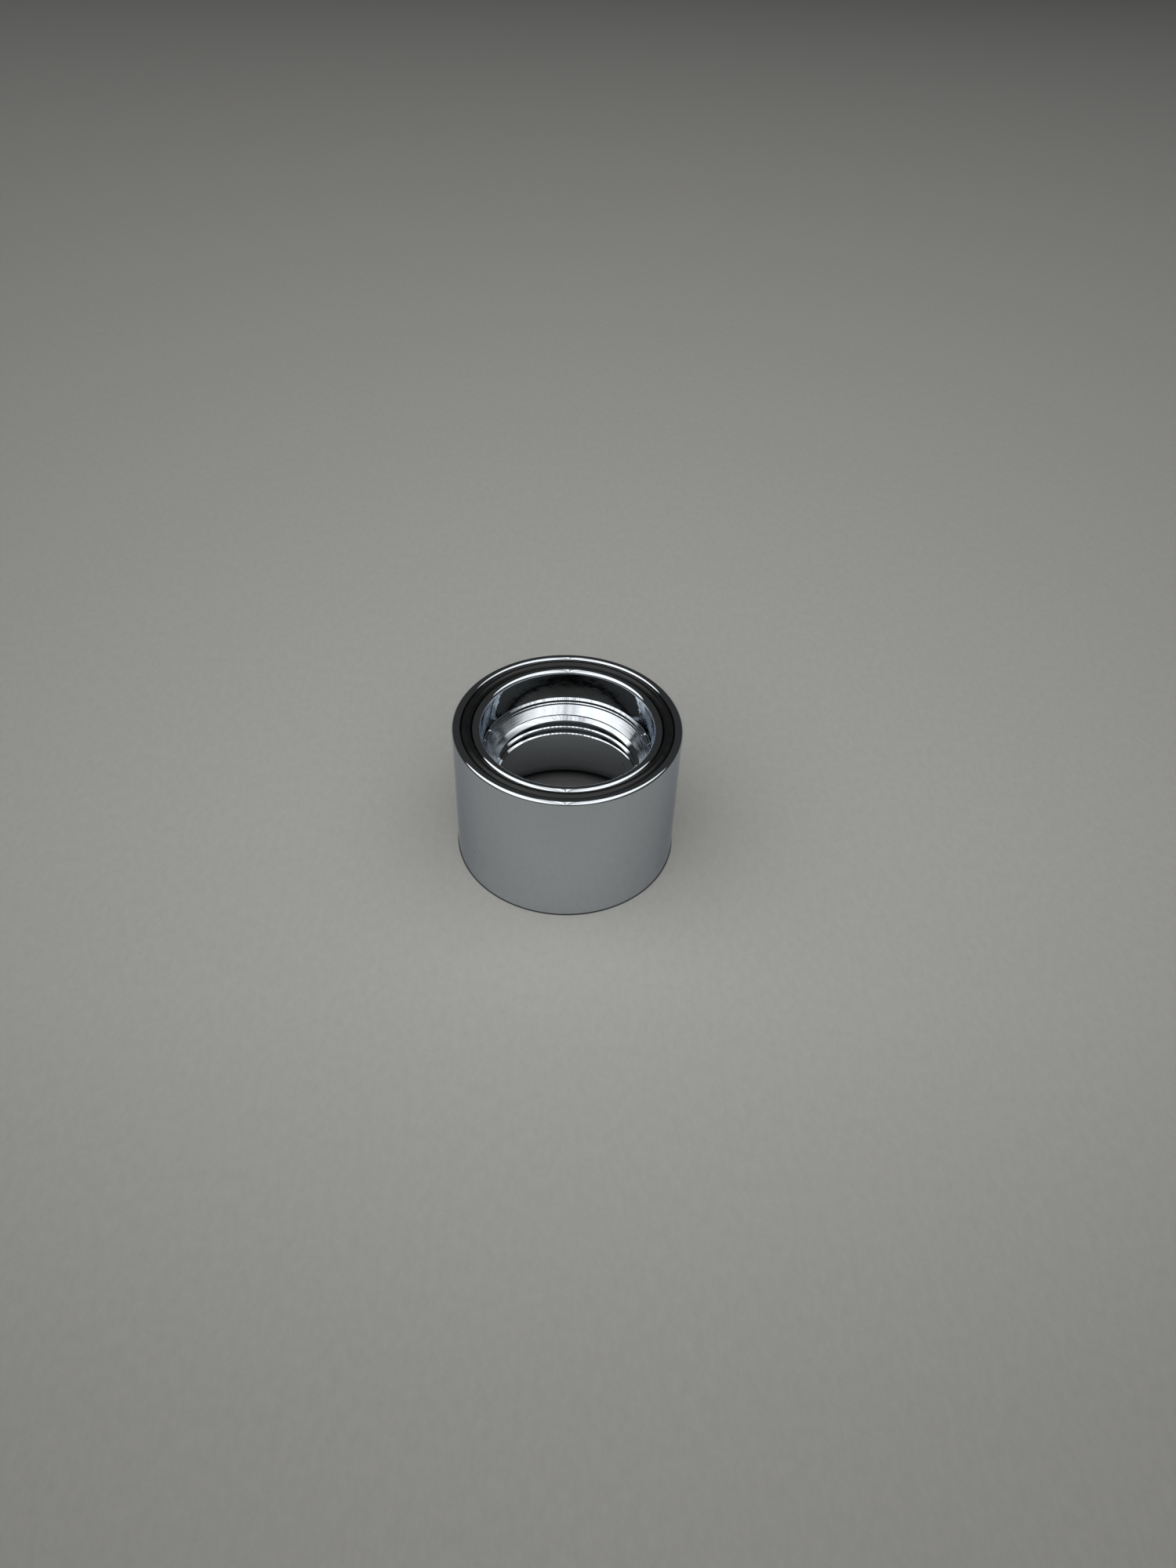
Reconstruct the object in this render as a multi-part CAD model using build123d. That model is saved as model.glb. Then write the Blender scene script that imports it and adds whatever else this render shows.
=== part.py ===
"""Turned sleeve with a threaded collar inside and a sealing ring let into its top face.

Sizes are in millimetres. +Z is up along the turning axis, and the origin is the centre of the foot.
The sleeve is sized from its thread outwards: each wall and land is added to the one inside it.
"""
from build123d import *
from math import ceil, cos, pi, radians, sin, tan
import os

# Thread in the collar: metric fine, right hand
THREAD_DIAMETER = 24.0
THREAD_PITCH = 1.5
THREAD_LENGTH = 3.1        # from the end of the lead-in cone to the collar's underside
THREAD_START_ANGLE = -68.0  # where the groove begins, about +Z from +X
FLANK_ANGLE = 30.0         # each flank, from square to the axis
LEAD_IN_ANGLE = 45.0       # cone, from the axis

# Stepped bore above the collar, from the cone outwards and upwards
CONE_MARGIN = 1.1          # the cone's mouth outside the thread's major radius
CONE_RISE = 0.25           # straight wall above the cone
SEAT_STEP = 0.15           # small step, cut at 45 degrees
SEAT_RISE = 0.4
SHOULDER_STEP = 0.35       # larger step under the smooth bore, cut at 45 degrees
UPPER_BORE_DEPTH = 5.45    # smooth bore, from the lip's top to the shoulder

# Top face, from the bore outwards: a rounded lip, the ring's groove and a taller rim
LIP_WIDTH = 1.48
LIP_DROP = 0.3             # the lip's top, below the rim's
LIP_ROUND = 0.62           # radius of the round on both sides of the lip
RIM_WIDTH = 1.36
RIM_INNER_ROUND = 0.43
RIM_OUTER_ROUND = 0.52
ROUND_FACETS = 3           # each of these rounds is turned as this many short cones

# Sealing ring and its groove
RING_SECTION = 1.5
RING_SIDE_CLEARANCE = 0.03
RING_SQUASH = 0.02         # how much lower than wide the section is, pressed into its groove
RING_STAND = 0.02          # how far the ring stands above the rim
RING_FACETS = 16           # sides of its round section, with one flat on the groove's floor
GROOVE_CORNER_BREAK = 0.15

# Sleeve below the collar
HEIGHT = 24.55
LOWER_WALL = 2.3
LOWER_CORNER_BREAK = 0.4
FOOT_EDGE_BREAK = 0.2

# Worked out from the sizes above
thread_major_radius = THREAD_DIAMETER / 2
thread_depth = (THREAD_PITCH - THREAD_PITCH / 8 - THREAD_PITCH / 4) / (2 * tan(radians(FLANK_ANGLE)))
thread_minor_radius = thread_major_radius - thread_depth
cone_mouth_radius = thread_major_radius + CONE_MARGIN
cone_depth = (cone_mouth_radius - thread_minor_radius) / tan(radians(LEAD_IN_ANGLE))
seat_radius = cone_mouth_radius + SEAT_STEP
upper_bore_radius = seat_radius + SHOULDER_STEP
groove_inner_radius = upper_bore_radius + LIP_WIDTH
groove_width = RING_SECTION + 2 * RING_SIDE_CLEARANCE
groove_outer_radius = groove_inner_radius + groove_width
outside_radius = groove_outer_radius + RIM_WIDTH
lower_bore_radius = outside_radius - LOWER_WALL
ring_middle_radius = (groove_inner_radius + groove_outer_radius) / 2
ring_height = RING_SECTION - RING_SQUASH

lip_z = HEIGHT - LIP_DROP
shoulder_z = lip_z - UPPER_BORE_DEPTH
seat_top_z = shoulder_z - SHOULDER_STEP
seat_z = seat_top_z - SEAT_RISE
cone_wall_z = seat_z - SEAT_STEP
cone_mouth_z = cone_wall_z - CONE_RISE
thread_top_z = cone_mouth_z - cone_depth
collar_underside_z = thread_top_z - THREAD_LENGTH
groove_floor_z = HEIGHT + RING_STAND - ring_height


def round_over(radius, top_z, size, side):
    """Points of a quarter round, from the flat at top_z to the wall at radius; side points into the metal."""
    points = []
    for step in range(ROUND_FACETS + 1):
        angle = radians(90 * step / ROUND_FACETS)
        points.append((radius + side * size * (1 - sin(angle)), top_z - size * (1 - cos(angle))))
    return points


def half_section():
    """Half section of the sleeve, from the foot up the outside, over the top face and down the bores."""
    return Polyline(
        (lower_bore_radius + FOOT_EDGE_BREAK, 0),
        (outside_radius - FOOT_EDGE_BREAK, 0),
        (outside_radius, FOOT_EDGE_BREAK),
        *reversed(round_over(outside_radius, HEIGHT, RIM_OUTER_ROUND, -1)),
        *round_over(groove_outer_radius, HEIGHT, RIM_INNER_ROUND, 1),
        (groove_outer_radius, groove_floor_z + GROOVE_CORNER_BREAK),
        (groove_outer_radius - GROOVE_CORNER_BREAK, groove_floor_z),
        (groove_inner_radius + GROOVE_CORNER_BREAK, groove_floor_z),
        (groove_inner_radius, groove_floor_z + GROOVE_CORNER_BREAK),
        *reversed(round_over(groove_inner_radius, lip_z, LIP_ROUND, -1)),
        *round_over(upper_bore_radius, lip_z, LIP_ROUND, 1),
        (upper_bore_radius, shoulder_z),
        (seat_radius, seat_top_z),
        (seat_radius, seat_z),
        (cone_mouth_radius, cone_wall_z),
        (cone_mouth_radius, cone_mouth_z),
        (thread_minor_radius, thread_top_z),
        (thread_minor_radius, collar_underside_z),
        (lower_bore_radius - LOWER_CORNER_BREAK, collar_underside_z),
        (lower_bore_radius, collar_underside_z - LOWER_CORNER_BREAK),
        (lower_bore_radius, FOOT_EDGE_BREAK),
        close=True,
    )


def turned_blank():
    """The sleeve before its thread is cut: its half section, turned about the axis."""
    return revolve(Plane.XZ * make_face(half_section()), axis=Axis.Z)


def groove_width_at(radius):
    """Width of the thread's groove at a radius: a flat root between two straight flanks."""
    return THREAD_PITCH / 8 + 2 * (thread_major_radius - radius) * tan(radians(FLANK_ANGLE))


def thread_turn():
    """One turn of the thread's helical groove, rising from z = 0 and starting at +X."""
    tip_radius = thread_minor_radius - THREAD_PITCH / 8
    section = make_face(
        Polyline(
            (tip_radius, -groove_width_at(tip_radius) / 2),
            (thread_major_radius, -groove_width_at(thread_major_radius) / 2),
            (thread_major_radius, groove_width_at(thread_major_radius) / 2),
            (tip_radius, groove_width_at(tip_radius) / 2),
            close=True,
        )
    )
    path = Helix(pitch=THREAD_PITCH, height=THREAD_PITCH, radius=thread_major_radius)
    return sweep(Plane.XZ * section, path=path, is_frenet=True)


def cut_thread(sleeve):
    """Cuts the groove turn by turn, from below the collar until it runs out through the cone."""
    turn = thread_turn()
    start_z = collar_underside_z - THREAD_PITCH
    turns = ceil((cone_mouth_z - start_z) / THREAD_PITCH)
    for number in range(turns):
        turn_z = start_z + number * THREAD_PITCH
        sleeve = sleeve - Pos(0, 0, turn_z) * Rot(0, 0, THREAD_START_ANGLE) * turn
    return sleeve


def sleeve_body():
    """The whole turned piece, cut from one bar."""
    return cut_thread(turned_blank())


def ring_section():
    """Round section of the sealing ring, slightly lower than wide, measured across its flats."""
    half_side_angle = pi / RING_FACETS
    middle_z = groove_floor_z + ring_height / 2
    points = []
    for side in range(RING_FACETS):
        angle = (2 * side + 1) * half_side_angle
        outwards = RING_SECTION / 2 * cos(angle) / cos(half_side_angle)
        upwards = ring_height / 2 * sin(angle) / cos(half_side_angle)
        points.append((ring_middle_radius + outwards, middle_z + upwards))
    return Polyline(*points, close=True)


def sealing_ring():
    """Rubber ring, resting on the groove's floor."""
    return revolve(Plane.XZ * make_face(ring_section()), axis=Axis.Z)


def main():
    os.makedirs("parts", exist_ok=True)
    export_step(sleeve_body(), "parts/sleeve_body.step")
    export_step(sealing_ring(), "parts/sealing_ring.step")


main()
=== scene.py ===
"""Chromed threaded sleeve with its sealing ring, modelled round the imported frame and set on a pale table."""
from math import ceil, cos, pi, radians, sin, sqrt, tan

import bmesh
import bpy
from mathutils import Matrix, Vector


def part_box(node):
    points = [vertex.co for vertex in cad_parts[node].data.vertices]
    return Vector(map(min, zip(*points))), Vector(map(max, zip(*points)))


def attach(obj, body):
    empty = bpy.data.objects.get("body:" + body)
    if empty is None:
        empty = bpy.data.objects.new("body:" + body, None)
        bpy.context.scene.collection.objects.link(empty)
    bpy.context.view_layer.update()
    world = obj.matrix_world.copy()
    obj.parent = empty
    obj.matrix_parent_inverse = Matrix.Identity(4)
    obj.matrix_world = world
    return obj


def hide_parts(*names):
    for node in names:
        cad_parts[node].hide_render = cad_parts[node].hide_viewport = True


bl_info = {
    "name": "Threaded Sleeve",
    "version": (1, 0, 0),
    "blender": (4, 5, 0),
    "location": "View3D > Sidebar > Sleeve",
    "description": "Models a chromed threaded sleeve, its sealing ring and a plain table to show it on",
    "category": "Add Mesh",
}

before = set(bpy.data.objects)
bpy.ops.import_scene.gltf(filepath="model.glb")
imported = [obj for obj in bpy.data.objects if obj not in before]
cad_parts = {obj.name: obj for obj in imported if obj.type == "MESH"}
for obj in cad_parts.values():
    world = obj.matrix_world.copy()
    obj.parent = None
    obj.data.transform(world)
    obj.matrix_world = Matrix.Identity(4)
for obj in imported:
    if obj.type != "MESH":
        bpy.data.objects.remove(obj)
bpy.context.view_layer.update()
sleeve_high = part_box("sleeve_body")[1]
ring_low, ring_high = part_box("sealing_ring")

MM = 0.001

# Modelling
SAME_PLACE = 1e-6            # points closer than this, in metres, are the same point
ON_WALL = 10 * SAME_PLACE    # how far a face's middle may lie from a turned wall
FLANK_ANGLE = radians(30.0)  # each flank of the thread, from square to the axis
BEVEL_SEGMENTS = 5
RING_SIDES = 48              # sides of the ring's round section

# Finishes
GRAZING_TINT = (0.72, 0.74, 0.8, 1.0)  # the chrome's tint at low angles
DULLED = 0.35                          # share of the chrome's colour left under a speck of dust
DUST_ON_RUBBER = (0.12, 0.12, 0.11)
RIPPLE_HEIGHT = 0.006 * MM
CHATTER_HEIGHT = 0.03 * MM
TOOL_MARK_HEIGHT = 0.03 * MM
RUBBER_SKIN_HEIGHT = 0.004 * MM
TABLE_GRAIN_HEIGHT = 0.2 * MM

# Table, and the light and shade painted into its colour
TABLE_SIDE = 3.0
TABLE_FAR = 1.0           # where the table is darkest, along +Y
TABLE_FAR_LIGHT = 0.1     # share of its light left there
TABLE_NEAR = -0.09        # where the near part of the table is dimmest
TABLE_NEAR_LIT = -0.035   # and where it is fully lit again
TABLE_NEAR_LIGHT = 0.87
CORNER_POWER = 1.6        # how fast the light falls away from the camera's line of sight

# Painted shade inside the sleeve, at distances in from its lower bore, and round its foot
OVERHANG_FROM = 10.5 * MM
OVERHANG_TO = 1.2 * MM
OVERHANG_LIGHT = 0.42     # share of light left at the second distance
CONTACT_FROM = 1.7 * MM
CONTACT_TO = 0.2 * MM
CONTACT_LIGHT = 0.02
FOOT_LINE = 0.2 * MM      # width of the painted dark shade line round the foot

# Lit ceiling
HORIZON = 0.05            # height of a direction, below which the ceiling doesn't reach
HORIZON_FULL = 0.2        # and above which it is at full strength
BARS_START = 3.1          # where the bars' pattern begins, which picks the bars
STRIP_CORE = 0.15         # share of the strip's half width that is dimmest
STRIPES_FULL = 0.6        # share of the half width where the fine stripes start to fade
STRIPES_END = 1.2         # and where they have gone


# ---------------------------------------------------------------- settings


def length(name, default_mm, description):
    """A length setting, written in millimetres and kept in metres."""
    return bpy.props.FloatProperty(
        name=name, description=description, default=default_mm * MM, unit="LENGTH", precision=5
    )


def colour(name, default, description):
    """A linear colour setting."""
    return bpy.props.FloatVectorProperty(
        name=name, description=description, default=default, subtype="COLOR", min=0.0, max=1.0
    )


class SleeveSettings(bpy.types.PropertyGroup):
    """Sizes and colour of the turned sleeve."""

    outside_radius: bpy.props.FloatProperty(
        name="Outside radius", description="Radius of the plain outside", default=sleeve_high.x, unit="LENGTH"
    )
    height: bpy.props.FloatProperty(
        name="Height", description="From the foot to the top face", default=sleeve_high.z, unit="LENGTH"
    )
    lower_wall: length("Lower wall", 2.3, "Wall below the collar")
    rim_width: length("Rim width", 1.36, "Rim between the ring's groove and the outside")
    groove_width: length("Groove width", 1.56, "Width of the ring's groove")
    lip_width: length("Lip width", 1.48, "Lip between the smooth bore and the ring's groove")
    lip_drop: length("Lip drop", 0.3, "The lip's top, below the rim's")
    bore_depth: length("Bore depth", 5.45, "Smooth bore, from the lip's top to the shoulder")
    shoulder_step: length("Shoulder step", 0.35, "Step under the smooth bore")
    seat_rise: length("Seat rise", 0.4, "Straight wall under the shoulder")
    seat_step: length("Seat step", 0.15, "Small step above the cone")
    cone_rise: length("Cone rise", 0.25, "Straight wall above the cone")
    thread_diameter: length("Thread diameter", 24.0, "Major diameter of the thread")
    thread_pitch: length("Thread pitch", 1.5, "Distance between turns")
    thread_length: length("Thread length", 3.1, "From the cone to the collar's underside")
    thread_start: bpy.props.FloatProperty(
        name="Thread start", description="Where the groove begins, about +Z from +X",
        default=radians(-68.0), subtype="ANGLE",
    )
    rim_outer_round: length("Outer round", 0.52, "Round on the rim's outer edge")
    rim_inner_round: length("Inner round", 0.43, "Round on the rim's edge over the groove")
    lip_round: length("Lip round", 0.62, "Round on both sides of the lip")
    step_round: length("Step round", 0.06, "Softened edges of the steps")
    foot_round: length("Foot round", 0.2, "Round on the foot's outer edge")
    foot_inner_round: length("Foot inner round", 0.5, "Round on the foot's inner edge")
    corner_round: length("Corner round", 0.4, "Inside corner under the collar")
    groove_corner: length("Groove corner", 0.15, "Inside corners of the ring's groove")
    segments: bpy.props.IntProperty(
        name="Segments", description="Divisions round the axis", default=360, min=48, max=720
    )
    chrome: colour("Chrome", (0.535, 0.569, 0.597), "Colour of the plating")


class RingSettings(bpy.types.PropertyGroup):
    """Sizes and colour of the sealing ring."""

    section: length("Section", 1.5, "Width of the ring's round section")
    rubber: colour("Rubber", (0.006, 0.006, 0.006), "Colour of the rubber")


class StageSettings(bpy.types.PropertyGroup):
    """Table, light and camera."""

    table: colour("Table", (0.318, 0.316, 0.298), "Colour of the table")
    ceiling_strength: bpy.props.FloatProperty(
        name="Ceiling strength", description="Brightness of the lit ceiling", default=1.85, min=0.0
    )
    room_strength: bpy.props.FloatProperty(
        name="Room strength", description="Brightness of the dim room round it", default=0.045, min=0.0
    )
    ceiling_left: bpy.props.FloatProperty(
        name="Ceiling left", description="Its left edge, as a slope from straight up", default=-2.0
    )
    ceiling_right: bpy.props.FloatProperty(
        name="Ceiling right", description="Its right edge, as a slope from straight up", default=1.2
    )
    ceiling_near: bpy.props.FloatProperty(
        name="Ceiling near", description="Its edge on the camera's side, as a slope from straight up",
        default=-2.6,
    )
    ceiling_far: bpy.props.FloatProperty(
        name="Ceiling far", description="Its far edge, as a slope from straight up", default=0.5
    )
    strip_middle: bpy.props.FloatProperty(
        name="Strip middle", description="Middle of the ceiling's dimmer strip, as a slope", default=0.02
    )
    strip_half_width: bpy.props.FloatProperty(
        name="Strip half width", description="Half width of the ceiling's dimmer strip, as a slope",
        default=0.4, min=0.01,
    )
    strip_light: bpy.props.FloatProperty(
        name="Strip light", description="Share of its light that the dimmer strip keeps", default=0.7, min=0.0
    )
    stripe_spacing: bpy.props.FloatProperty(
        name="Stripe spacing", description="Spacing of the fine stripes in the dimmer strip, as a slope",
        default=0.055, min=0.001,
    )
    bar_scale: bpy.props.FloatProperty(
        name="Bar scale", description="How close the ceiling's brighter bars stand", default=9.0, min=0.1
    )
    far_fade: bpy.props.FloatProperty(
        name="Far fade", description="Half width of the soft far edge, as a slope", default=0.06, min=0.001
    )
    side_fade: bpy.props.FloatProperty(
        name="Side fade", description="Half width of the soft left, right and near edges, as a slope",
        default=0.5, min=0.001,
    )
    camera_place: bpy.props.FloatVectorProperty(
        name="Camera place", description="Where the camera stands",
        default=(0.0, -0.13759, 0.14114), subtype="TRANSLATION", unit="LENGTH",
    )
    camera_heading: bpy.props.FloatProperty(
        name="Camera heading", description="Turn from +Y towards +X", default=0.025742, subtype="ANGLE"
    )
    camera_dip: bpy.props.FloatProperty(
        name="Camera dip", description="Angle below the horizon", default=0.754684, subtype="ANGLE"
    )
    camera_roll: bpy.props.FloatProperty(
        name="Camera roll", description="Turn about the line of sight", default=0.0402795, subtype="ANGLE"
    )
    camera_lens: bpy.props.FloatProperty(
        name="Lens", description="Focal length on a 36 mm long side", default=26.55, min=5.0
    )


# ---------------------------------------------------------------- modelling helpers


def place_in_mesh():
    """Moves the active object's place, turn and size into its mesh."""
    bpy.ops.object.transform_apply(location=True, rotation=True, scale=True)


def only(piece):
    """Makes one object the only selected and active one, in object mode."""
    if bpy.context.object and bpy.context.object.mode != "OBJECT":
        bpy.ops.object.mode_set(mode="OBJECT")
    bpy.ops.object.select_all(action="DESELECT")
    piece.select_set(True)
    bpy.context.view_layer.objects.active = piece


def select_where(test, mode="VERT"):
    """In edit mode, selects the vertices, edges or faces that pass the test."""
    bpy.ops.mesh.select_mode(type=mode)
    bpy.ops.mesh.select_all(action="DESELECT")
    edited = bmesh.from_edit_mesh(bpy.context.object.data)
    elements = {"VERT": edited.verts, "EDGE": edited.edges, "FACE": edited.faces}[mode]
    for element in elements:
        if test(element):
            element.select_set(True)
    edited.select_flush(True)
    bmesh.update_edit_mesh(bpy.context.object.data)


def axis_distance(point):
    """Distance of a point from the turning axis."""
    return sqrt(point.x ** 2 + point.y ** 2)


def turn_outline(name, outline, segments):
    """Turns a closed outline of (radius, z) points: a ring of edges is extruded from point to point."""
    radius, z = outline[0]
    bpy.ops.mesh.primitive_circle_add(vertices=segments, radius=radius, location=(0, 0, z))
    turned = bpy.context.object
    turned.name = name
    place_in_mesh()
    bpy.ops.object.mode_set(mode="EDIT")
    bpy.ops.mesh.select_all(action="SELECT")
    for next_radius, next_z in outline[1:] + outline[:1]:
        bpy.ops.mesh.extrude_edges_move(TRANSFORM_OT_translate={"value": (0, 0, next_z - z)})
        scale = next_radius / radius
        bpy.ops.transform.resize(value=(scale, scale, 1), center_override=(0, 0, 0))
        radius, z = next_radius, next_z
    bpy.ops.mesh.select_all(action="SELECT")
    bpy.ops.mesh.remove_doubles(threshold=SAME_PLACE)
    bpy.ops.mesh.normals_make_consistent(inside=False)
    bpy.ops.object.mode_set(mode="OBJECT")
    return turned


def round_edge(radius, z, size):
    """In edit mode, rounds the turned edge at one radius and height."""
    near = 5 * SAME_PLACE

    def on_edge(vertex):
        return abs(axis_distance(vertex.co) - radius) < near and abs(vertex.co.z - z) < near

    select_where(on_edge)
    bpy.ops.mesh.select_mode(type="EDGE")
    bpy.ops.mesh.bevel(offset=size, segments=BEVEL_SEGMENTS, profile=0.5, affect="EDGES")


def smooth(piece, angle_deg):
    """Smooth shading that keeps crisp edges, with normals that follow the larger faces."""
    only(piece)
    bpy.ops.object.shade_smooth_by_angle(angle=radians(angle_deg))
    weighted = piece.modifiers.new("Normals", "WEIGHTED_NORMAL")
    weighted.keep_sharp = True
    weighted.weight = 100
    bpy.ops.object.modifier_apply(modifier=weighted.name)


# ---------------------------------------------------------------- materials


def new_material(name):
    """A node material and its shader."""
    material = bpy.data.materials.new(name)
    material.use_nodes = True
    nodes = material.node_tree.nodes
    links = material.node_tree.links
    return material, nodes, links, nodes["Principled BSDF"]


def maths(nodes, links, operation, *values):
    """A maths node fed by sockets or numbers."""
    node = nodes.new("ShaderNodeMath")
    node.operation = operation
    for socket, value in zip(node.inputs, values):
        if isinstance(value, (int, float)):
            socket.default_value = value
        else:
            links.new(value, socket)
    return node.outputs["Value"]


def noise(nodes, links, scale, detail=3.0, roughness=0.5, stretch=(1, 1, 1)):
    """A noise texture on object coordinates, scaled in cycles per metre."""
    where = nodes.new("ShaderNodeTexCoord")
    mapping = nodes.new("ShaderNodeMapping")
    mapping.inputs["Scale"].default_value = stretch
    texture = nodes.new("ShaderNodeTexNoise")
    texture.inputs["Scale"].default_value = scale
    texture.inputs["Detail"].default_value = detail
    texture.inputs["Roughness"].default_value = roughness
    links.new(where.outputs["Object"], mapping.inputs["Vector"])
    links.new(mapping.outputs["Vector"], texture.inputs["Vector"])
    return texture.outputs["Fac"]


def span(nodes, links, value, low, high, from_low=0.0, from_high=1.0):
    """Maps a value from one range to another, clamped."""
    mapped = nodes.new("ShaderNodeMapRange")
    mapped.inputs["From Min"].default_value = from_low
    mapped.inputs["From Max"].default_value = from_high
    mapped.inputs["To Min"].default_value = low
    mapped.inputs["To Max"].default_value = high
    links.new(value, mapped.inputs["Value"])
    return mapped.outputs["Result"]


def bump(nodes, links, height, strength, distance):
    """A bump node fed by a height."""
    node = nodes.new("ShaderNodeBump")
    node.inputs["Strength"].default_value = strength
    node.inputs["Distance"].default_value = distance
    links.new(height, node.inputs["Height"])
    return node


def specks(nodes, links, scale, share, size):
    """A mask of sparse round specks: scale in cells per metre, share of cells that hold one."""
    where = nodes.new("ShaderNodeTexCoord")
    cells = nodes.new("ShaderNodeTexVoronoi")
    cells.inputs["Scale"].default_value = scale
    links.new(where.outputs["Object"], cells.inputs["Vector"])
    picked = nodes.new("ShaderNodeSeparateColor")
    links.new(cells.outputs["Color"], picked.inputs["Color"])
    chosen = maths(nodes, links, "LESS_THAN", picked.outputs["Red"], share)
    core = 0.6 * size
    close = span(nodes, links, cells.outputs["Distance"], low=1.0, high=0.0, from_low=core, from_high=size)
    return maths(nodes, links, "MULTIPLY", chosen, close)


def tinted(nodes, links, mask, colour_off, colour_on):
    """A colour that goes from one to another where the mask is on."""
    mix = nodes.new("ShaderNodeMix")
    mix.data_type = "RGBA"
    mix.inputs["A"].default_value = (*colour_off, 1.0)
    mix.inputs["B"].default_value = (*colour_on, 1.0)
    links.new(mask, mix.inputs["Factor"])
    return mix.outputs["Result"]


def dusty_chrome(name, tint, ripple_scale, ripple_height):
    """Polished chrome with faint ripples, hairline scratches, haze and a few specks of dust."""
    material, nodes, links, shader = new_material(name)
    shader.inputs["Metallic"].default_value = 1.0
    shader.inputs["Specular Tint"].default_value = GRAZING_TINT
    dust = specks(nodes, links, scale=700.0, share=0.02, size=0.16)
    dull = tuple(DULLED * value for value in tint)
    links.new(tinted(nodes, links, dust, tint, dull), shader.inputs["Base Color"])
    haze = noise(nodes, links, scale=300.0, detail=4.0, roughness=0.6)
    scratches = noise(nodes, links, scale=220.0, detail=5.0, roughness=0.75, stretch=(9.0, 9.0, 1.0))
    hazy = span(nodes, links, haze, low=0.02, high=0.07, from_low=0.35, from_high=0.7)
    scratched = span(nodes, links, scratches, low=0.0, high=0.1, from_low=0.6, from_high=0.72)
    links.new(maths(nodes, links, "ADD", hazy, scratched), shader.inputs["Roughness"])
    waves = noise(nodes, links, scale=ripple_scale)
    ripples = bump(nodes, links, waves, strength=1.0, distance=ripple_height)
    links.new(ripples.outputs["Normal"], shader.inputs["Normal"])
    return material


def polished_chrome(tint):
    """Mirror chrome on the outside, the top face and the thread."""
    return dusty_chrome("polished_chrome", tint, ripple_scale=120.0, ripple_height=RIPPLE_HEIGHT)


def bored_chrome(tint):
    """Chrome over a bored wall, with the boring tool's chatter."""
    return dusty_chrome("bored_chrome", tint, ripple_scale=500.0, ripple_height=CHATTER_HEIGHT)


def turned_chrome(tint):
    """Chrome over tool marks that run round the axis, which spread highlights across themselves."""
    material, nodes, links, shader = new_material("turned_chrome")
    shader.inputs["Metallic"].default_value = 1.0
    shader.inputs["Base Color"].default_value = (*tint, 1.0)
    shader.inputs["Anisotropic"].default_value = 0.85
    shader.inputs["Anisotropic Rotation"].default_value = 0.25
    round_axis = nodes.new("ShaderNodeTangent")
    round_axis.direction_type = "RADIAL"
    round_axis.axis = "Z"
    links.new(round_axis.outputs["Tangent"], shader.inputs["Tangent"])
    patches = noise(nodes, links, scale=240.0)
    rough = span(nodes, links, patches, low=0.07, high=0.2, from_low=0.4, from_high=0.65)
    links.new(rough, shader.inputs["Roughness"])
    marks = noise(nodes, links, scale=40.0, detail=4.0, roughness=0.7, stretch=(1.0, 1.0, 45.0))
    grooves = bump(nodes, links, marks, strength=1.0, distance=TOOL_MARK_HEIGHT)
    links.new(grooves.outputs["Normal"], shader.inputs["Normal"])
    return material


def black_rubber(tint):
    """Smooth moulded rubber, a little oily, with a few specks of dust."""
    material, nodes, links, shader = new_material("black_rubber")
    dust = specks(nodes, links, scale=900.0, share=0.03, size=0.14)
    links.new(tinted(nodes, links, dust, tint, DUST_ON_RUBBER), shader.inputs["Base Color"])
    shader.inputs["Specular IOR Level"].default_value = 0.3
    blotches = noise(nodes, links, scale=500.0)
    rough = span(nodes, links, blotches, low=0.2, high=0.4, from_low=0.3, from_high=0.7)
    links.new(rough, shader.inputs["Roughness"])
    pores = noise(nodes, links, scale=2500.0, detail=4.0)
    skin = bump(nodes, links, pores, strength=1.0, distance=RUBBER_SKIN_HEIGHT)
    links.new(skin.outputs["Normal"], shader.inputs["Normal"])
    return material


# ---------------------------------------------------------------- sleeve


def sleeve_places(sizes):
    """Radii and heights of the sleeve, worked out from its settings."""
    places = {}
    places["major"] = sizes.thread_diameter / 2
    places["root_flat"] = sizes.thread_pitch / 8
    crest_flat = sizes.thread_pitch / 4
    thread_depth = (sizes.thread_pitch - places["root_flat"] - crest_flat) / (2 * tan(FLANK_ANGLE))
    places["minor"] = places["major"] - thread_depth
    places["groove_outer"] = sizes.outside_radius - sizes.rim_width
    places["groove_inner"] = places["groove_outer"] - sizes.groove_width
    places["bore"] = places["groove_inner"] - sizes.lip_width
    places["seat"] = places["bore"] - sizes.shoulder_step
    places["cone"] = places["seat"] - sizes.seat_step
    places["lower"] = sizes.outside_radius - sizes.lower_wall
    places["floor_z"] = ring_low.z
    places["lip_z"] = sizes.height - sizes.lip_drop
    places["shoulder_z"] = places["lip_z"] - sizes.bore_depth
    places["seat_top_z"] = places["shoulder_z"] - sizes.shoulder_step
    places["seat_z"] = places["seat_top_z"] - sizes.seat_rise
    places["cone_wall_z"] = places["seat_z"] - sizes.seat_step
    places["cone_z"] = places["cone_wall_z"] - sizes.cone_rise
    places["thread_top_z"] = places["cone_z"] - (places["cone"] - places["minor"])
    places["collar_z"] = places["thread_top_z"] - sizes.thread_length
    return places


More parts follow.
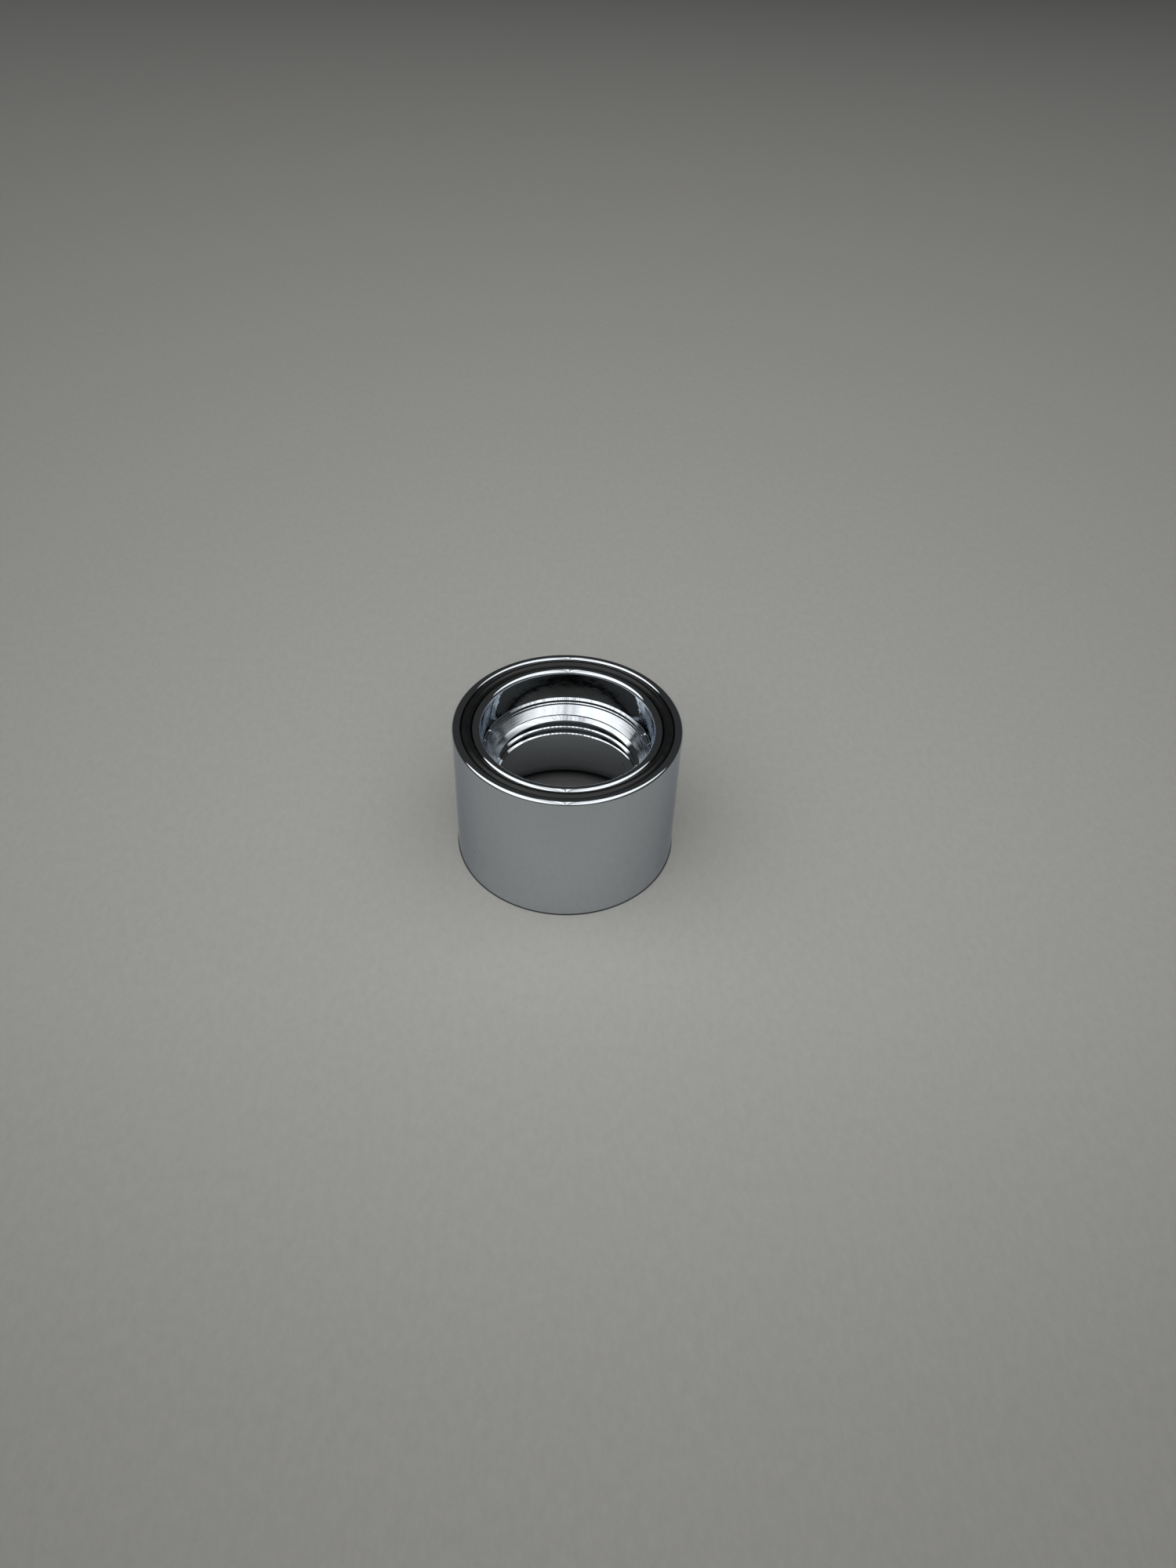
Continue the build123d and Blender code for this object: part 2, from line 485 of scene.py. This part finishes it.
def turn_sleeve(sizes, places):
    """The sleeve before its thread is cut, with its edges rounded."""
    outline = [
        (places["lower"], 0.0),
        (sizes.outside_radius, 0.0),
        (sizes.outside_radius, sizes.height),
        (places["groove_outer"], sizes.height),
        (places["groove_outer"], places["floor_z"]),
        (places["groove_inner"], places["floor_z"]),
        (places["groove_inner"], places["lip_z"]),
        (places["bore"], places["lip_z"]),
        (places["bore"], places["shoulder_z"]),
        (places["seat"], places["seat_top_z"]),
        (places["seat"], places["seat_z"]),
        (places["cone"], places["cone_wall_z"]),
        (places["cone"], places["cone_z"]),
        (places["minor"], places["thread_top_z"]),
        (places["minor"], places["collar_z"]),
        (places["lower"], places["collar_z"]),
    ]
    sleeve = turn_outline("sleeve_shell", outline, sizes.segments)
    rounds = [
        (sizes.outside_radius, sizes.height, sizes.rim_outer_round),
        (places["groove_outer"], sizes.height, sizes.rim_inner_round),
        (places["groove_outer"], places["floor_z"], sizes.groove_corner),
        (places["groove_inner"], places["floor_z"], sizes.groove_corner),
        (places["groove_inner"], places["lip_z"], sizes.lip_round),
        (places["bore"], places["lip_z"], sizes.lip_round),
        (places["lower"], 0.0, sizes.foot_inner_round),
        (sizes.outside_radius, 0.0, sizes.foot_round),
        (places["lower"], places["collar_z"], sizes.corner_round),
        (places["bore"], places["shoulder_z"], sizes.step_round),
        (places["seat"], places["seat_top_z"], sizes.step_round),
        (places["seat"], places["seat_z"], sizes.step_round),
        (places["cone"], places["cone_wall_z"], sizes.step_round),
        (places["cone"], places["cone_z"], sizes.step_round),
    ]
    bpy.ops.object.mode_set(mode="EDIT")
    for radius, z, size in rounds:
        round_edge(radius, z, size)
    bpy.ops.object.mode_set(mode="OBJECT")
    return sleeve


def groove_half_width(places, radius):
    """Half the width of the thread's groove at a radius."""
    return places["root_flat"] / 2 + (places["major"] - radius) * tan(FLANK_ANGLE)


def thread_cutter(sizes, places):
    """A helical bar with the section of the thread's groove, longer than the collar at both ends."""
    past_crests = sizes.thread_pitch / 8
    tip = places["minor"] - past_crests
    plane_side = 1.0
    start_z = places["collar_z"] - sizes.thread_pitch
    turns = ceil((places["cone_z"] - start_z) / sizes.thread_pitch)
    bpy.ops.mesh.primitive_plane_add(size=plane_side, location=(0, 0, 0), rotation=(pi / 2, 0, 0))
    cutter = bpy.context.object
    cutter.name = "thread_cutter"
    place_in_mesh()
    bpy.ops.object.mode_set(mode="EDIT")
    for side, radius in ((1, places["major"]), (-1, tip)):
        select_where(lambda vertex: vertex.co.x * side > 0)
        width = 2 * groove_half_width(places, radius)
        bpy.ops.transform.resize(value=(1, 1, width / plane_side), center_override=(0, 0, 0))
        bpy.ops.transform.translate(value=(radius - side * plane_side / 2, 0, 0))
    bpy.ops.mesh.select_all(action="SELECT")
    bpy.ops.transform.translate(value=(0, 0, start_z))
    bpy.ops.transform.rotate(value=-sizes.thread_start, orient_axis="Z", center_override=(0, 0, 0))
    bpy.ops.mesh.delete(type="ONLY_FACE")
    bpy.ops.object.mode_set(mode="OBJECT")
    screw = cutter.modifiers.new("Turns", "SCREW")
    screw.axis = "Z"
    screw.screw_offset = sizes.thread_pitch
    screw.iterations = turns
    screw.steps = sizes.segments
    screw.render_steps = sizes.segments
    screw.use_merge_vertices = False
    bpy.ops.object.modifier_apply(modifier=screw.name)
    bpy.ops.object.mode_set(mode="EDIT")
    middle_z = start_z + turns * sizes.thread_pitch / 2
    for side in (-1, 1):
        bpy.ops.mesh.select_mode(type="EDGE")
        bpy.ops.mesh.select_all(action="DESELECT")
        edited = bmesh.from_edit_mesh(cutter.data)
        for edge in edited.edges:
            at_end = (edge.verts[0].co.z - middle_z) * side > 0
            if edge.is_boundary and at_end:
                edge.select_set(True)
        bmesh.update_edit_mesh(cutter.data)
        bpy.ops.mesh.edge_face_add()
    bpy.ops.mesh.select_all(action="SELECT")
    bpy.ops.mesh.normals_make_consistent(inside=False)
    bpy.ops.object.mode_set(mode="OBJECT")
    return cutter


def cut_thread(sleeve, sizes, places):
    """Cuts the thread's groove out of the collar and deletes the cutter."""
    cutter = thread_cutter(sizes, places)
    only(sleeve)
    cut = sleeve.modifiers.new("Thread", "BOOLEAN")
    cut.operation = "DIFFERENCE"
    cut.solver = "MANIFOLD"
    cut.object = cutter
    bpy.ops.object.modifier_apply(modifier=cut.name)
    bpy.data.objects.remove(cutter)


def finish_sleeve(sleeve, sizes, places):
    """Polished chrome all over, with chatter in the smooth bore and tool marks on the cone."""
    sleeve.data.materials.clear()
    for material in (polished_chrome(sizes.chrome), bored_chrome(sizes.chrome), turned_chrome(sizes.chrome)):
        sleeve.data.materials.append(material)
    only(sleeve)
    bpy.ops.object.mode_set(mode="EDIT")

    def in_smooth_bore(face):
        middle = face.calc_center_median()
        at_wall = abs(axis_distance(middle) - places["bore"]) < ON_WALL
        return at_wall and places["shoulder_z"] < middle.z < places["lip_z"]

    def on_cone(face):
        middle = face.calc_center_median()
        return axis_distance(middle) < places["cone"] and places["thread_top_z"] < middle.z < places["cone_z"]

    for index, test in ((1, in_smooth_bore), (2, on_cone)):
        select_where(test, "FACE")
        sleeve.active_material_index = index
        bpy.ops.object.material_slot_assign()
    bpy.ops.object.mode_set(mode="OBJECT")


class SLEEVE_OT_make_sleeve(bpy.types.Operator):
    """Turns the sleeve, cuts its thread and gives it its chrome"""

    bl_idname = "sleeve.make_sleeve"
    bl_label = "Make Sleeve"

    def execute(self, context):
        sizes = context.scene.sleeve_settings
        places = sleeve_places(sizes)
        bpy.ops.object.select_all(action="DESELECT")
        sleeve = turn_sleeve(sizes, places)
        cut_thread(sleeve, sizes, places)
        finish_sleeve(sleeve, sizes, places)
        smooth(sleeve, angle_deg=25.0)
        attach(sleeve, "root")
        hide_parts("sleeve_body")
        return {"FINISHED"}


# ---------------------------------------------------------------- sealing ring


class SLEEVE_OT_make_ring(bpy.types.Operator):
    """Makes the sealing ring, a little lower than it is wide, on the floor of its groove"""

    bl_idname = "sleeve.make_ring"
    bl_label = "Make Sealing Ring"

    def execute(self, context):
        sizes = context.scene.sleeve_settings
        ring_sizes = context.scene.ring_settings
        places = sleeve_places(sizes)
        middle_radius = (places["groove_inner"] + places["groove_outer"]) / 2
        ring_middle_z = (ring_low.z + ring_high.z) / 2
        squash = (ring_high.z - ring_low.z) / ring_sizes.section
        bpy.ops.object.select_all(action="DESELECT")
        bpy.ops.mesh.primitive_torus_add(
            major_radius=middle_radius, minor_radius=ring_sizes.section / 2,
            major_segments=sizes.segments, minor_segments=RING_SIDES,
            location=(0, 0, ring_middle_z),
        )
        ring = bpy.context.object
        ring.name = "sealing_ring_rubber"
        place_in_mesh()
        bpy.ops.object.mode_set(mode="EDIT")
        bpy.ops.mesh.select_all(action="SELECT")
        bpy.ops.transform.resize(value=(1, 1, squash), center_override=(0, 0, ring_middle_z))
        bpy.ops.object.mode_set(mode="OBJECT")
        ring.data.materials.append(black_rubber(ring_sizes.rubber))
        smooth(ring, angle_deg=30.0)
        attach(ring, "root")
        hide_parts("sealing_ring")
        return {"FINISHED"}


# ---------------------------------------------------------------- stage


def line_of_sight(stage):
    """The camera's direction, from its heading and dip."""
    level = cos(stage.camera_dip)
    return (sin(stage.camera_heading) * level, cos(stage.camera_heading) * level, -sin(stage.camera_dip))


def footprint_shade(nodes, links, split, sizes):
    """Painted shade on the table inside the sleeve, and a thin line of painted shade where its foot meets the
    table.
    """
    x_squared = maths(nodes, links, "POWER", split.outputs["X"], 2.0)
    y_squared = maths(nodes, links, "POWER", split.outputs["Y"], 2.0)
    radius = maths(nodes, links, "SQRT", maths(nodes, links, "ADD", x_squared, y_squared))
    lower_bore = sizes.outside_radius - sizes.lower_wall
    # Painted shade under the collar's overhang, darkening towards the lower bore.
    overhang = span(
        nodes, links, radius, low=1.0, high=OVERHANG_LIGHT,
        from_low=lower_bore - OVERHANG_FROM, from_high=lower_bore - OVERHANG_TO,
    )
    # Painted contact shadow at the lower bore's wall.
    contact = span(
        nodes, links, radius, low=1.0, high=CONTACT_LIGHT,
        from_low=lower_bore - CONTACT_FROM, from_high=lower_bore - CONTACT_TO,
    )
    inside = maths(nodes, links, "MULTIPLY", overhang, contact)
    # Painted contact shadow in a thin line outside the foot.
    outside = span(
        nodes, links, radius, low=0.0, high=1.0,
        from_low=sizes.outside_radius, from_high=sizes.outside_radius + FOOT_LINE,
    )
    return maths(nodes, links, "MAXIMUM", inside, outside)


def tabletop(stage, sizes):
    """Pale matt table with painted shade: darker far off, on the camera's side and off the camera's line of
    sight, and inside the sleeve.
    """
    material, nodes, links, shader = new_material("tabletop")
    shader.inputs["Roughness"].default_value = 0.6
    where = nodes.new("ShaderNodeTexCoord")
    split = nodes.new("ShaderNodeSeparateXYZ")
    links.new(where.outputs["Object"], split.inputs["Vector"])
    # Painted shade: the table's colour darkens away along +Y.
    far_painted_shade = span(
        nodes, links, split.outputs["Y"], low=1.0, high=TABLE_FAR_LIGHT, from_low=0.0, from_high=TABLE_FAR
    )
    # Painted shade: darker off the camera's line of sight, worked out from its fixed place and direction.
    from_camera = nodes.new("ShaderNodeVectorMath")
    from_camera.operation = "SUBTRACT"
    from_camera.inputs[1].default_value = stage.camera_place
    links.new(where.outputs["Object"], from_camera.inputs[0])
    direction = nodes.new("ShaderNodeVectorMath")
    direction.operation = "NORMALIZE"
    links.new(from_camera.outputs["Vector"], direction.inputs[0])
    off_axis = nodes.new("ShaderNodeVectorMath")
    off_axis.operation = "DOT_PRODUCT"
    off_axis.inputs[1].default_value = line_of_sight(stage)
    links.new(direction.outputs["Vector"], off_axis.inputs[0])
    corner_painted_shade = maths(nodes, links, "POWER", off_axis.outputs["Value"], CORNER_POWER)
    # Painted shade: the part on the camera's side is dimmer.
    near_painted_shade = span(
        nodes, links, split.outputs["Y"], low=TABLE_NEAR_LIGHT, high=1.0,
        from_low=TABLE_NEAR, from_high=TABLE_NEAR_LIT,
    )
    # Painted light and shade multiplied together, then a random mottle of the table's tone.
    light = maths(nodes, links, "MULTIPLY", far_painted_shade, corner_painted_shade)
    light = maths(nodes, links, "MULTIPLY", light, near_painted_shade)
    light = maths(nodes, links, "MULTIPLY", light, footprint_shade(nodes, links, split, sizes))
    patches = noise(nodes, links, scale=900.0, detail=5.0, roughness=0.8, stretch=(1.0, 0.5, 1.0))
    mottle = span(nodes, links, patches, low=0.94, high=1.06, from_low=0.3, from_high=0.7)
    light = maths(nodes, links, "MULTIPLY", light, mottle)
    # The table's colour scaled by the painted light and shade.
    lit_colour = nodes.new("ShaderNodeVectorMath")
    lit_colour.operation = "SCALE"
    lit_colour.inputs[0].default_value = stage.table
    links.new(light, lit_colour.inputs["Scale"])
    links.new(lit_colour.outputs["Vector"], shader.inputs["Base Color"])
    grain_height = noise(nodes, links, scale=900.0, detail=5.0, roughness=0.6)
    grain = bump(nodes, links, grain_height, strength=0.2, distance=TABLE_GRAIN_HEIGHT)
    links.new(grain.outputs["Normal"], shader.inputs["Normal"])
    return material


def add_table(stage, sizes):
    """The table: one wide flat square, which isn't part of the object."""
    bpy.ops.object.select_all(action="DESELECT")
    bpy.ops.mesh.primitive_plane_add(size=TABLE_SIDE, location=(0, 0, 0))
    table = bpy.context.object
    table.name = "table"
    table.data.materials.append(tabletop(stage, sizes))


def soft_edge(nodes, links, slope, at, fade, rising):
    """A soft edge of the lit ceiling, at a slope from straight up."""
    low, high = (0.0, 1.0) if rising else (1.0, 0.0)
    return span(nodes, links, slope, low, high, from_low=at - fade, from_high=at + fade)


def ceiling_rectangle(nodes, links, stage, across, along, height):
    """The lit rectangle: soft at its left, right and near edges, and sharper at its far one."""
    left = soft_edge(nodes, links, across, stage.ceiling_left, stage.side_fade, True)
    right = soft_edge(nodes, links, across, stage.ceiling_right, stage.side_fade, False)
    near = soft_edge(nodes, links, along, stage.ceiling_near, stage.side_fade, True)
    far = soft_edge(nodes, links, along, stage.ceiling_far, stage.far_fade, False)
    above = span(nodes, links, height, low=0.0, high=1.0, from_low=HORIZON, from_high=HORIZON_FULL)
    lit = left
    for side in (right, near, far, above):
        lit = maths(nodes, links, "MULTIPLY", lit, side)
    return lit


def ceiling_bars(nodes, links, stage, across):
    """Brighter and dimmer bars that run away from the camera."""
    bars = nodes.new("ShaderNodeTexNoise")
    bars.noise_dimensions = "1D"
    bars.inputs["Scale"].default_value = stage.bar_scale
    bars.inputs["Detail"].default_value = 2.0
    links.new(maths(nodes, links, "ADD", across, BARS_START), bars.inputs["W"])
    return span(nodes, links, bars.outputs["Fac"], low=0.7, high=1.3, from_low=0.35, from_high=0.65)


def ceiling_strip(nodes, links, stage, across):
    """The dimmer strip in the ceiling's middle, with fine brighter and dimmer stripes along it."""
    off_centre = maths(nodes, links, "ABSOLUTE", maths(nodes, links, "SUBTRACT", across, stage.strip_middle))
    strip = span(
        nodes, links, off_centre, low=stage.strip_light, high=1.0,
        from_low=stage.strip_half_width * STRIP_CORE, from_high=stage.strip_half_width,
    )
    turns = maths(nodes, links, "MULTIPLY", across, 2 * pi / stage.stripe_spacing)
    waves = maths(nodes, links, "SINE", turns)
    stripes = span(nodes, links, waves, low=0.5, high=1.4, from_low=-0.4, from_high=0.6)
    in_strip = span(
        nodes, links, off_centre, low=1.0, high=0.0,
        from_low=stage.strip_half_width * STRIPES_FULL, from_high=stage.strip_half_width * STRIPES_END,
    )
    change = maths(nodes, links, "SUBTRACT", stripes, 1.0)
    stripes = maths(nodes, links, "ADD", maths(nodes, links, "MULTIPLY", change, in_strip), 1.0)
    return maths(nodes, links, "MULTIPLY", strip, stripes)


def light_room(stage):
    """World light: a dim room under a wide lit ceiling."""
    world = bpy.data.worlds.new("room")
    bpy.context.scene.world = world
    world.use_nodes = True
    nodes = world.node_tree.nodes
    links = world.node_tree.links
    background = nodes["Background"]
    where = nodes.new("ShaderNodeTexCoord")
    split = nodes.new("ShaderNodeSeparateXYZ")
    links.new(where.outputs["Generated"], split.inputs["Vector"])
    up = maths(nodes, links, "MAXIMUM", split.outputs["Z"], HORIZON)
    across = maths(nodes, links, "DIVIDE", split.outputs["X"], up)
    along = maths(nodes, links, "DIVIDE", split.outputs["Y"], up)
    lit = ceiling_rectangle(nodes, links, stage, across, along, split.outputs["Z"])
    lit = maths(nodes, links, "MULTIPLY", lit, ceiling_bars(nodes, links, stage, across))
    lit = maths(nodes, links, "MULTIPLY", lit, ceiling_strip(nodes, links, stage, across))
    ceiling = maths(nodes, links, "MULTIPLY", lit, stage.ceiling_strength)
    links.new(maths(nodes, links, "ADD", ceiling, stage.room_strength), background.inputs["Strength"])
    background.inputs["Color"].default_value = (1.0, 1.0, 1.0, 1.0)


def add_camera(stage):
    """The camera, from its place, heading, dip and roll."""
    bpy.ops.object.camera_add(location=stage.camera_place)
    camera = bpy.context.object
    camera.name = "camera"
    turn = Matrix.Rotation(-stage.camera_heading, 4, "Z") @ Matrix.Rotation(pi / 2 - stage.camera_dip, 4, "X")
    turn = turn @ Matrix.Rotation(stage.camera_roll, 4, "Z")
    camera.matrix_world = Matrix.Translation(stage.camera_place) @ turn
    camera.data.sensor_width = 36.0
    camera.data.lens = stage.camera_lens
    camera.data.clip_start = 0.01
    bpy.context.scene.camera = camera


class SLEEVE_OT_make_stage(bpy.types.Operator):
    """Adds the table, the room's light and the camera"""

    bl_idname = "sleeve.make_stage"
    bl_label = "Make Stage"

    def execute(self, context):
        stage = context.scene.stage_settings
        add_table(stage, context.scene.sleeve_settings)
        light_room(stage)
        add_camera(stage)
        context.scene.view_settings.view_transform = "Standard"
        return {"FINISHED"}


# ---------------------------------------------------------------- add-on


class SLEEVE_PT_panel(bpy.types.Panel):
    """Lists the sleeve's settings and operators"""

    bl_label = "Threaded Sleeve"
    bl_idname = "SLEEVE_PT_panel"
    bl_space_type = "VIEW_3D"
    bl_region_type = "UI"
    bl_category = "Sleeve"

    def draw(self, context):
        for settings in ("sleeve_settings", "ring_settings", "stage_settings"):
            group = getattr(context.scene, settings)
            box = self.layout.box()
            for key in group.__annotations__:
                box.prop(group, key)
        for operator in ("sleeve.make_sleeve", "sleeve.make_ring", "sleeve.make_stage"):
            self.layout.operator(operator)


CLASSES = (
    SleeveSettings,
    RingSettings,
    StageSettings,
    SLEEVE_OT_make_sleeve,
    SLEEVE_OT_make_ring,
    SLEEVE_OT_make_stage,
    SLEEVE_PT_panel,
)


def register():
    for each in CLASSES:
        bpy.utils.register_class(each)
    bpy.types.Scene.sleeve_settings = bpy.props.PointerProperty(type=SleeveSettings)
    bpy.types.Scene.ring_settings = bpy.props.PointerProperty(type=RingSettings)
    bpy.types.Scene.stage_settings = bpy.props.PointerProperty(type=StageSettings)


def unregister():
    for name in ("sleeve_settings", "ring_settings", "stage_settings"):
        delattr(bpy.types.Scene, name)
    for each in reversed(CLASSES):
        bpy.utils.unregister_class(each)


def main():
    register()
    bpy.ops.sleeve.make_stage()
    bpy.ops.sleeve.make_sleeve()
    bpy.ops.sleeve.make_ring()


if __name__ == "__main__":
    main()
